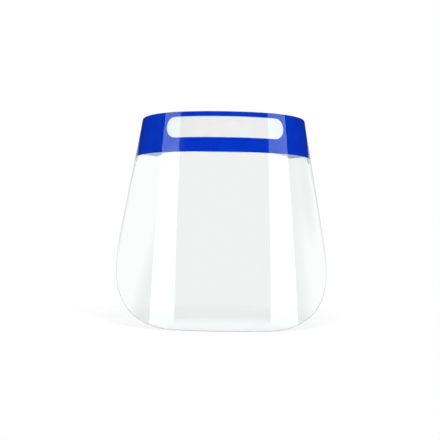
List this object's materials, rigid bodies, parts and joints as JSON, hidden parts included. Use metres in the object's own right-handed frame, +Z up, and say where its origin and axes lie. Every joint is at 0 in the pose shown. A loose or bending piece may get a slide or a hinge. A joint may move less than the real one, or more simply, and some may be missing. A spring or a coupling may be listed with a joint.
{
  "type": "face shield",
  "caption": "Clear flared visor film with a printed blue header, a foam forehead pad and an elastic strap round the back of the head.",
  "frame": {"origin": "middle of the foam pad's forehead face, where the wearer's forehead rests", "axes": "+Z up, +Y towards the back of the head, so the wearer looks along -Y; +X to the wearer's left"},
  "size_m": [0.225, 0.1891, 0.22],
  "materials": {
    "clear_film": "clear glossy PET film",
    "blue_print": "opaque blue print under the film's gloss",
    "white_backing": "matt white backing layer",
    "tape": "double-sided tissue tape",
    "foam": "open-cell polyurethane foam, cut",
    "elastic": "knitted elastic webbing",
    "staple_wire": "galvanised steel wire"
  },
  "bodies": {
    "shield": {"visor_film": "clear_film", "header_band": "blue_print", "header_backing": "white_backing", "foam_tape": "tape", "foam_pad": "foam", "strap_left": "elastic", "strap_right": "elastic", "staples_left": "staple_wire", "staples_right": "staple_wire"},
    "strap_back": {"strap_back": "elastic"}
  },
  "joints": [
    {"name": "strap_stretch", "type": "slide", "parent": "shield", "child": "strap_back", "axis": [0, 1, 0], "range_m": [0, 0.05], "stiffness_N_per_m": 80, "deforming": ["strap_left", "strap_right"]}
  ]
}
